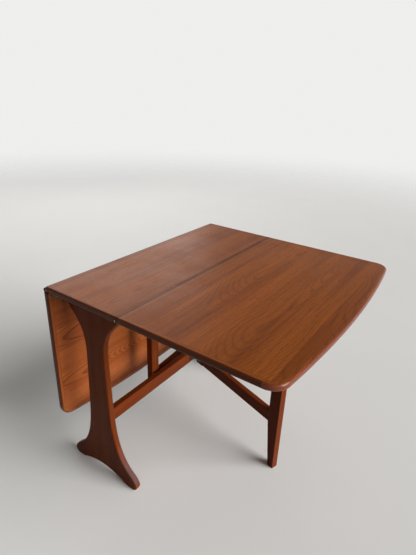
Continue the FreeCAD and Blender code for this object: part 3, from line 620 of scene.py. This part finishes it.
def bow_of(node):
    """Centre and radius, in Y and the leaf's outward axis, of a panel's bowed edge."""
    low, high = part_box(node)
    raised = high.x - low.x > high.z - low.z
    points = np.array([v.co for v in NODES[node].data.vertices])
    out = points[:, 0] if raised else -points[:, 2]
    flat = np.abs(points[:, 1]) < BOW_MIDDLE * high.y
    reach = high.x if raised else -low.z
    rim = flat & (out > reach - BOW_DEPTH)
    y = points[rim, 1]
    out = out[rim]
    terms = np.column_stack((2 * y, 2 * out, np.ones(len(y))))
    centre_y, centre_out, rest = np.linalg.lstsq(terms, y * y + out * out, rcond=None)[0]
    return centre_y, centre_out, math.sqrt(rest + centre_y ** 2 + centre_out ** 2), raised


def panel_of(node):
    """The panel that a piece of the top or of a leaf is glued to."""
    if node.startswith("centre_top"):
        return "centre_top_panel"
    return node.split("_leaf_")[0] + "_leaf_panel"


def glue_distance(tree, spot, board):
    """Distance from the joint lines between a panel and its solid edges."""
    parts = put(tree, "ShaderNodeSeparateXYZ", {"Vector": spot})
    along = maths(tree, "ABSOLUTE", parts.outputs["Y"])
    panel = panel_of(board.node)
    low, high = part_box(panel)
    lines = [maths(tree, "SUBTRACT", along, high.y)]
    if panel.startswith("centre"):
        across = maths(tree, "ABSOLUTE", parts.outputs["X"])
        lines.append(maths(tree, "SUBTRACT", across, high.x))
    else:
        _, centre_out, radius, raised = bow_of(panel)
        out = parts.outputs["X"] if raised else maths(tree, "MULTIPLY", parts.outputs["Z"], -1.0)
        inner = low.x if raised else -high.z
        lines.append(maths(tree, "SUBTRACT", out, inner))
        from_centre = maths(tree, "SUBTRACT", out, centre_out)
        flat = put(tree, "ShaderNodeCombineXYZ", {"X": from_centre, "Y": parts.outputs["Y"]})
        reach = vector_maths(tree, "LENGTH", flat.outputs["Vector"])
        lines.append(maths(tree, "SUBTRACT", reach, radius))
    nearest = maths(tree, "ABSOLUTE", lines[0])
    for line in lines[1:]:
        nearest = maths(tree, "MINIMUM", nearest, maths(tree, "ABSOLUTE", line))
    return nearest


def wood_colour(tree, board, wood, spot, grain, worn):
    """Show face, back, rim, glue lines and wear of one board, with painted shade on the end rims and
    at the rule joints, and painted highlights on the edges and the feet.
    """
    veneered = board.palette == "top"
    colour = grain_colour(tree, grain, wood, board.palette)
    if veneered:
        back = grain_colour(tree, grain, wood, "under")
        colour = blended(tree, underside_mask(tree, spot, board), colour, back)
        glue = placed_group(tree, shared("Glue line", glue_line_group), {
            "Distance": glue_distance(tree, spot, board), "Width": wood.glue_width})
        drawn = maths(tree, "MULTIPLY", glue["Line"], GLUE_DEPTH)
        colour = blended(tree, drawn, colour, wood.glue_line_and_joint_shadow)
        # On every veneered board but the outer lipping the rim takes the end palette, which is
        # painted shade; the outer lipping's rim keeps its own wood.
        rim = grain_colour(tree, grain, wood, board.side)
        colour = blended(tree, rim_mask(tree, board), colour, rim)
    # Edges lightened: rubbed wear and a painted highlight.
    rubbed_and_highlit = maths(tree, "MULTIPLY", worn["Rubbed and highlit"], RUBBED_AND_HIGHLIT_VENEERED if veneered else RUBBED_AND_HIGHLIT_SOLID)
    colour = blended(tree, rubbed_and_highlit, colour, palette_of(wood, board.palette)[0])
    # Painted sheen on the upper side of the feet.
    if board.on_floor:
        colour = blended(tree, painted_toe_sheen_mask(tree, spot, worn["Film"]), colour, wood.painted_toe_sheen)
    # Painted shadow of the rule joint, with its dark edges, in the glue line's colour.
    if board.node in JOINT_EDGES:
        colour = blended(tree, joint_shadow_and_dark_edges(tree, spot, worn["Film"]), colour, wood.glue_line_and_joint_shadow)
    return colour


def wood_material(board, wood, piths):
    """Satin lacquered teak for one board."""
    material = bpy.data.materials.new("Teak " + board.node.replace("_", " "))
    material.use_nodes = True
    tree = material.node_tree
    surface = tree.nodes["Principled BSDF"]
    spot, along_grain = grain_placement(tree, board, piths)
    grain = placed_group(tree, shared("Teak grain", teak_grain_group), {
        "Vector": along_grain, "Ring spacing": wood.ring_spacing * board.rings,
        "Wander": wood.ring_wander * board.rings, "Taper": wood.arches,
        "Sheet width": wood.sheet_width if board.node.endswith("_panel") else SOLID})
    worn = placed_group(tree, shared("Handling", handling_group), {
        "Vector": along_grain, "Radius": FOOT_RADIUS if board.on_floor else EDGE_RADIUS})
    tree.links.new(wood_colour(tree, board, wood, spot, grain, worn), surface.inputs["Base Color"])

    bare = board.palette == "bare"
    base = BARE_ROUGHNESS if bare else wood.roughness
    smooth, dull = FILM_ROUGHNESS
    rough = remapped(tree, worn["Film"], 0.0, 1.0, base + smooth, base + dull, smooth=False)
    porous = maths(tree, "MULTIPLY", grain["Pores"], PORE_ROUGHNESS)
    tree.links.new(maths(tree, "ADD", rough, porous, clamp=True), surface.inputs["Roughness"])
    fibres = maths(tree, "MULTIPLY", grain["Fibre"], FIBRE_RELIEF)
    relief = maths(tree, "SUBTRACT", fibres, grain["Pores"])
    bump = put(tree, "ShaderNodeBump", {"Height": relief, **RELIEF})
    tree.links.new(bump.outputs["Normal"], surface.inputs["Normal"])
    sheen = SHEEN_VENEERED if board.palette == "top" else SHEEN_SOLID
    surface.inputs["Specular IOR Level"].default_value = sheen
    if not bare:
        least = POLISH_OUTER if board.node.endswith("outer_lipping") else POLISH_ELSEWHERE
        polish = multiply_add(tree, worn["Rubbed and highlit"], POLISH_RUBBED, least)
        tree.links.new(polish, surface.inputs["Coat Weight"])
        surface.inputs["Coat Roughness"].default_value = POLISH_ROUGHNESS
        surface.inputs["Specular Tint"].default_value = (*wood.lacquer, 1.0)
    return material


# ---------------------------------------------------------------- metal
DRAWN = (3000.0, 60.0, 3000.0)      # drawing marks in a metre; they run along Y
MARKS = {"Strength": 0.25, "Distance": 0.00003}
TARNISH_SCALE = 160.0               # patches of tarnish in a metre
TARNISH_CONTRAST = (0.42, 0.68)
MOST_TARNISH = 0.7
TARNISH_ROUGHNESS = 0.25
BRASS_ROUGHNESS = 0.30
STEEL_ROUGHNESS = 0.28
STEEL_FILM = 0.5                    # the film on steel, as a share of its colour
BRASS = "Old brass"


def metal_material(name, colour, tarnish, roughness):
    """Drawn metal with a dull film."""
    material = bpy.data.materials.new(name)
    material.use_nodes = True
    tree = material.node_tree
    surface = tree.nodes["Principled BSDF"]
    spot = coordinates(tree, "Object")
    patches = noise(tree, spot, scale=TARNISH_SCALE, detail=4.0, roughness=0.6)["Fac"]
    film = remapped(tree, patches, *TARNISH_CONTRAST, 0.0, MOST_TARNISH)
    drawn = noise(tree, scaled(tree, spot, DRAWN), detail=2.0)["Fac"]
    tree.links.new(blended(tree, film, colour, tarnish), surface.inputs["Base Color"])
    rough = multiply_add(tree, film, TARNISH_ROUGHNESS, roughness)
    tree.links.new(rough, surface.inputs["Roughness"])
    bump = put(tree, "ShaderNodeBump", {"Height": drawn, **MARKS})
    tree.links.new(bump.outputs["Normal"], surface.inputs["Normal"])
    surface.inputs["Metallic"].default_value = 1.0
    return material


def finish_node(node, material):
    """Give a node's mesh one material."""
    slots = NODES[node].data.materials
    slots.clear()
    slots.append(material)


# ---------------------------------------------------------------- screws
SCREW_NODES = {
    "leaf_hinge_top_screws": "frame",
    "gate_hinge_frame_screws": "frame",
    "right_leaf_screws": "right_leaf",
    "left_leaf_screws": "left_leaf",
    "right_gate_hinge_screws": "right_gate",
    "left_gate_hinge_screws": "left_gate",
}
SCREW_INPUTS = {"Head radius": 0.0034, "Shank radius": 0.0016, "Sink": 0.0018, "Length": 0.014,
                "Slot width": 0.001, "Slot depth": 0.0009}
POINT_RADIUS = 0.0004
BAR_LENGTH = 3.0        # the bar that cuts the slot, in head radii
SAME_PLACE = 1e-6


def loose_parts(node):
    """Vertex positions of each separate screw in a node, in the order of the mesh."""
    mesh = bmesh.new()
    mesh.from_mesh(NODES[node].data)
    bmesh.ops.remove_doubles(mesh, verts=mesh.verts, dist=SAME_PLACE)
    seen = set()
    found = []
    for start in mesh.verts:
        if start in seen:
            continue
        seen.add(start)
        part = []
        edge = [start]
        while edge:
            vertex = edge.pop()
            part.append(vertex.co.copy())
            for link in vertex.link_edges:
                other = link.other_vert(vertex)
                if other not in seen:
                    seen.add(other)
                    edge.append(other)
        found.append(np.array(part))
    mesh.free()
    return found


def screw_place(points):
    """Head centre, inward direction, head radius, shank radius and length of one screw."""
    centre = (points.min(0) + points.max(0)) / 2
    run = np.linalg.svd(points - points.mean(0))[2][0]
    along = (points - centre) @ run
    away = np.linalg.norm(points - centre - np.outer(along, run), axis=1)
    if along[np.argmax(away)] > 0:
        run = -run
        along = -along
    head = centre + run * along.min()
    length = along.max() - along.min()
    shank = away[along > along.min() + length / 2].max()
    return Vector(head), Vector(run), float(away.max()), float(shank), float(length)


def screw_tree():
    """Slotted countersunk screws on points, each turned its own way about its axis."""
    tree = bpy.data.node_groups.new("Slotted screws", "GeometryNodeTree")
    tree.interface.new_socket("Geometry", in_out="INPUT", socket_type="NodeSocketGeometry")
    for label, default in SCREW_INPUTS.items():
        socket = tree.interface.new_socket(label, in_out="INPUT", socket_type=FLOAT)
        socket.default_value = default
    sides = tree.interface.new_socket("Sides", in_out="INPUT", socket_type="NodeSocketInt")
    sides.default_value = 40
    tree.interface.new_socket("Finish", in_out="INPUT", socket_type="NodeSocketMaterial")
    tree.interface.new_socket("Geometry", in_out="OUTPUT", socket_type="NodeSocketGeometry")
    given = tree.nodes.new("NodeGroupInput").outputs
    made = tree.nodes.new("NodeGroupOutput").inputs

    head = put(tree, "GeometryNodeMeshCone", {
        "Vertices": given["Sides"], "Radius Top": given["Shank radius"],
        "Radius Bottom": given["Head radius"], "Depth": given["Sink"]})
    below = maths(tree, "SUBTRACT", given["Length"], given["Sink"])
    point = put(tree, "GeometryNodeMeshCone", {
        "Vertices": given["Sides"], "Radius Top": POINT_RADIUS,
        "Radius Bottom": given["Shank radius"], "Depth": below})
    sunk = put(tree, "ShaderNodeCombineXYZ", {"Z": given["Sink"]})
    lowered = put(tree, "GeometryNodeTransform", {
        "Geometry": point.outputs["Mesh"], "Translation": sunk.outputs["Vector"]})
    # The bar lies half above the head, so it is twice as deep as the slot.
    width = maths(tree, "MULTIPLY", given["Head radius"], BAR_LENGTH)
    deep = maths(tree, "MULTIPLY", given["Slot depth"], 2.0)
    size = put(tree, "ShaderNodeCombineXYZ", {"X": width, "Y": given["Slot width"], "Z": deep})
    bar = put(tree, "GeometryNodeMeshCube", {"Size": size.outputs["Vector"]})
    slotted = put(tree, "GeometryNodeMeshBoolean", operation="DIFFERENCE")
    tree.links.new(head.outputs["Mesh"], slotted.inputs["Mesh 1"])
    tree.links.new(bar.outputs["Mesh"], slotted.inputs["Mesh 2"])
    whole = tree.nodes.new("GeometryNodeJoinGeometry")
    tree.links.new(slotted.outputs["Mesh"], whole.inputs["Geometry"])
    tree.links.new(lowered.outputs["Geometry"], whole.inputs["Geometry"])

    inward = put(tree, "GeometryNodeInputNamedAttribute", {"Name": "inward"},
                 data_type="FLOAT_VECTOR")
    facing = put(tree, "FunctionNodeAlignRotationToVector", {"Vector": inward.outputs["Attribute"]},
                 axis="Z")
    turn = put(tree, "FunctionNodeRandomValue", data_type="FLOAT")
    turn.inputs[2].default_value = 0.0
    turn.inputs[3].default_value = math.pi
    turn.inputs["Seed"].default_value = SEED
    spin = put(tree, "FunctionNodeAxisAngleToRotation", {"Axis": (0.0, 0.0, 1.0),
                                                         "Angle": turn.outputs[1]})
    spun = put(tree, "FunctionNodeRotateRotation", {
        "Rotation": facing.outputs["Rotation"], "Rotate By": spin.outputs["Rotation"]},
        rotation_space="LOCAL")
    placed = put(tree, "GeometryNodeInstanceOnPoints", {
        "Points": given["Geometry"], "Instance": whole.outputs["Geometry"],
        "Rotation": spun.outputs["Rotation"]})
    real = put(tree, "GeometryNodeRealizeInstances", {"Geometry": placed.outputs["Instances"]})
    coated = put(tree, "GeometryNodeSetMaterial", {
        "Geometry": real.outputs["Geometry"], "Material": given["Finish"]})
    tree.links.new(coated.outputs["Geometry"], made["Geometry"])
    return tree


def screw_piece(name, places, tree, metal, brass):
    """One mesh of all the screws of a size, made by the tree and turned into plain mesh."""
    points = bpy.data.meshes.new(name)
    points.from_pydata([place[0] for place in places], [], [])
    inward = points.attributes.new("inward", "FLOAT_VECTOR", "POINT")
    for item, place in zip(inward.data, places):
        item.vector = place[1]
    piece = bpy.data.objects.new(name, points)
    bpy.context.scene.collection.objects.link(piece)
    maker = piece.modifiers.new("Screws", "NODES")
    maker.node_group = tree
    sockets = {item.name: item.identifier for item in tree.interface.items_tree
               if item.in_out == "INPUT"}
    head, shank, length = places[0][2:]
    values = {"Head radius": head, "Shank radius": shank, "Sink": head - shank, "Length": length,
              "Slot width": metal.slot_width, "Slot depth": metal.slot_depth,
              "Sides": metal.head_sides, "Finish": brass}
    for label, value in values.items():
        maker[sockets[label]] = value
    seen = piece.evaluated_get(bpy.context.evaluated_depsgraph_get())
    plain = bpy.data.meshes.new_from_object(seen)
    piece.modifiers.remove(maker)
    piece.data = plain
    plain.name = name
    if not plain.polygons:
        raise RuntimeError(name + " came out empty")
    return piece


# ---------------------------------------------------------------- operators
class TABLE_OT_finish_wood(Operator):
    """Give every wooden piece its own board of lacquered teak"""

    bl_idname = "table.finish_wood"
    bl_label = "Finish wood"

    def execute(self, context):
        wood = context.scene.table_wood
        piths = draw_piths()
        for board in boards():
            finish_node(board.node, wood_material(board, wood, piths))
        return {"FINISHED"}


class TABLE_OT_finish_hinges(Operator):
    """Give the hinges, pins and bearer screws their metal"""

    bl_idname = "table.finish_hinges"
    bl_label = "Finish hinges"

    def execute(self, context):
        metal = context.scene.table_metal
        brass = metal_material(BRASS, metal.brass, metal.tarnish, BRASS_ROUGHNESS)
        steel = metal_material("Plain steel", metal.steel, Vector(metal.steel) * STEEL_FILM,
                               STEEL_ROUGHNESS)
        for node in NODES:
            if node.endswith("_flaps"):
                finish_node(node, brass)
            if node.endswith("_pins") or node == "bearer_screws":
                finish_node(node, steel)
        return {"FINISHED"}


class TABLE_OT_make_screws(Operator):
    """Make the slotted brass screws of the hinges and leaf stops"""

    bl_idname = "table.make_screws"
    bl_label = "Make screws"

    def execute(self, context):
        metal = context.scene.table_metal
        brass = bpy.data.materials[BRASS]
        tree = screw_tree()
        for node, body in SCREW_NODES.items():
            sizes = {}
            for points in loose_parts(node):
                place = screw_place(points)
                sizes.setdefault(round(place[4], 4), []).append(place)
            for number, places in enumerate(sizes.values(), 1):
                name = "slotted_" + node + ("" if number == 1 else "_long")
                piece = screw_piece(name, places, tree, metal, brass)
                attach(piece, body)
                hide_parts(node)
        return {"FINISHED"}


class TABLE_OT_set_studio(Operator):
    """Lay the floor, hang the lamps and place the camera"""

    bl_idname = "table.set_studio"
    bl_label = "Set studio"

    def execute(self, context):
        studio = context.scene.table_studio
        lay_floor(studio)
        light_world(context.scene, studio)
        hang_key("Key", studio.key_strength, studio.key_height, studio.key_spread,
                 studio.key_heading)
        hang_key("Low key", studio.low_strength, studio.low_height, studio.low_spread,
                 studio.low_heading)
        hang_panel(studio)
        place_camera(context.scene, studio)
        context.scene.view_settings.view_transform = "Standard"
        return {"FINISHED"}


SENSOR_WIDTH = 36.0                 # millimetres
FLOOR_SIDES = 96
FLOOR_CLOUDS = (0.97, 1.03)         # darkest and lightest patch, as shares of the floor's colour
FLOOR_ROUGHNESS = 0.85
FLOOR_FADE = (0.25, 0.98)           # shares of the floor's reach
CEILING_RISE = (0.10, 0.45)         # upward part of a direction, from wall to full ceiling


def lay_floor(studio):
    """A pale floor that fades into the backdrop and is clear from below."""
    bpy.ops.mesh.primitive_circle_add(vertices=FLOOR_SIDES, radius=studio.floor_reach,
                                      fill_type="NGON")
    floor = bpy.context.object
    floor.name = "studio_floor"
    material = bpy.data.materials.new("Studio floor")
    material.use_nodes = True
    tree = material.node_tree
    surface = tree.nodes["Principled BSDF"]
    spot = coordinates(tree, "Object")
    cloudy = noise(tree, spot, scale=2.0, detail=4.0)["Fac"]
    dark, light = [Vector(studio.floor) * share for share in FLOOR_CLOUDS]
    plain = blended(tree, cloudy, dark, light)
    tree.links.new(blended(tree, background_rays(tree), studio.bounce, plain),
                   surface.inputs["Base Color"])
    surface.inputs["Roughness"].default_value = FLOOR_ROUGHNESS
    start, end = [studio.floor_reach * share for share in FLOOR_FADE]
    fade = remapped(tree, vector_maths(tree, "LENGTH", spot), start, end)
    below = tree.nodes.new("ShaderNodeNewGeometry").outputs["Backfacing"]
    fade = maths(tree, "MAXIMUM", fade, below)
    clear = tree.nodes.new("ShaderNodeBsdfTransparent")
    mix = put(tree, "ShaderNodeMixShader", {0: fade, 1: surface.outputs["BSDF"],
                                            2: clear.outputs["BSDF"]})
    tree.links.new(mix.outputs["Shader"], tree.nodes["Material Output"].inputs["Surface"])
    floor.data.materials.append(material)


def background_rays(tree):
    """1 for the rays that show the background: straight, mirrored or passed through."""
    path = tree.nodes.new("ShaderNodeLightPath").outputs
    seen = maths(tree, "ADD", path["Is Camera Ray"], path["Is Glossy Ray"])
    return maths(tree, "ADD", seen, path["Is Transmission Ray"], clamp=True)


def light_world(scene, studio):
    """Even light from all round, and a pale backdrop, mirrored with a dim ceiling over it."""
    world = bpy.data.worlds.new("Studio")
    scene.world = world
    world.use_nodes = True
    tree = world.node_tree
    tree.nodes.clear()
    glow = put(tree, "ShaderNodeBackground", {"Color": (*studio.ambient, 1.0),
                                              "Strength": studio.ambient_strength})
    height = along_axis(tree, coordinates(tree, "Generated"), "Z")
    mirrored = tree.nodes.new("ShaderNodeLightPath").outputs["Is Glossy Ray"]
    overhead = maths(tree, "MULTIPLY", remapped(tree, height, *CEILING_RISE), mirrored)
    plain = put(tree, "ShaderNodeBackground", {
        "Color": blended(tree, overhead, studio.backdrop, studio.ceiling), "Strength": 1.0})
    mix = put(tree, "ShaderNodeMixShader", {0: background_rays(tree), 1: glow.outputs[0],
                                            2: plain.outputs[0]})
    out = tree.nodes.new("ShaderNodeOutputWorld")
    tree.links.new(mix.outputs["Shader"], out.inputs["Surface"])


def hang_key(name, strength, height, spread, heading):
    """A broad, distant lamp, so that the floor is lit evenly."""
    lamp = bpy.data.lights.new(name, "SUN")
    lamp.energy = strength
    lamp.angle = spread
    holder = bpy.data.objects.new(name, lamp)
    bpy.context.scene.collection.objects.link(holder)
    level = Vector((math.cos(heading), math.sin(heading), 0.0))
    towards = level * math.cos(height) + Z_AXIS * math.sin(height)
    holder.rotation_euler = towards.to_track_quat("Z", "Y").to_euler()


def hang_panel(studio):
    """A soft panel past the dropped leaf, which puts a low sheen on the centre top."""
    lamp = bpy.data.lights.new("Panel", "AREA")
    lamp.shape = "RECTANGLE"
    lamp.size = studio.panel_width
    lamp.size_y = studio.panel_depth
    lamp.energy = studio.panel_power
    holder = bpy.data.objects.new("Panel", lamp)
    bpy.context.scene.collection.objects.link(holder)
    holder.visible_camera = False
    holder.location = studio.panel_place
    towards = Z_AXIS * cad_box[1].z - holder.location
    holder.rotation_euler = towards.to_track_quat("-Z", "Y").to_euler()


def place_camera(scene, studio):
    """The camera stands before the raised leaf's near corner and looks down across the top."""
    lens = bpy.data.cameras.new("Camera")
    lens.lens = studio.camera_lens
    lens.sensor_width = SENSOR_WIDTH
    camera = bpy.data.objects.new("Camera", lens)
    scene.collection.objects.link(camera)
    level = Vector((math.cos(studio.camera_heading), math.sin(studio.camera_heading), 0.0))
    ahead = level * math.cos(studio.camera_pitch) - Z_AXIS * math.sin(studio.camera_pitch)
    right = ahead.cross(Z_AXIS).normalized()
    down = ahead.cross(right)
    side = right * math.cos(studio.camera_roll) + down * math.sin(studio.camera_roll)
    lower = down * math.cos(studio.camera_roll) - right * math.sin(studio.camera_roll)
    facing = Matrix((side, -lower, -ahead)).transposed()
    camera.matrix_world = Matrix.Translation(studio.camera_place) @ facing.to_4x4()
    scene.camera = camera


# ---------------------------------------------------------------- panel and registration
class TABLE_PT_drop_leaf(Panel):
    """Sidebar panel of the drop leaf table"""

    bl_idname = "TABLE_PT_drop_leaf"
    bl_label = "Drop Leaf Table"
    bl_space_type = "VIEW_3D"
    bl_region_type = "UI"
    bl_category = "Drop Leaf Table"

    def draw(self, context):
        layout = self.layout
        for group in SETTINGS:
            settings = getattr(context.scene, group)
            column = layout.column(align=True)
            for key in settings.bl_rna.properties.keys():
                if key not in ("rna_type", "name"):
                    column.prop(settings, key)
        for operator in OPERATORS:
            layout.operator(operator.bl_idname)


SETTINGS = {
    "table_wood": TableWoodSettings,
    "table_metal": TableMetalSettings,
    "table_studio": TableStudioSettings,
}
OPERATORS = (TABLE_OT_finish_wood, TABLE_OT_finish_hinges, TABLE_OT_make_screws,
             TABLE_OT_set_studio)


def register():
    for name, settings in SETTINGS.items():
        bpy.utils.register_class(settings)
        setattr(bpy.types.Scene, name, PointerProperty(type=settings))
    for operator in OPERATORS:
        bpy.utils.register_class(operator)
    bpy.utils.register_class(TABLE_PT_drop_leaf)


def unregister():
    bpy.utils.unregister_class(TABLE_PT_drop_leaf)
    for operator in reversed(OPERATORS):
        bpy.utils.unregister_class(operator)
    for name, settings in reversed(SETTINGS.items()):
        delattr(bpy.types.Scene, name)
        bpy.utils.unregister_class(settings)


def main():
    register()
    bpy.ops.table.finish_wood()
    bpy.ops.table.finish_hinges()
    bpy.ops.table.make_screws()
    bpy.ops.table.set_studio()


if __name__ == "__main__":
    main()
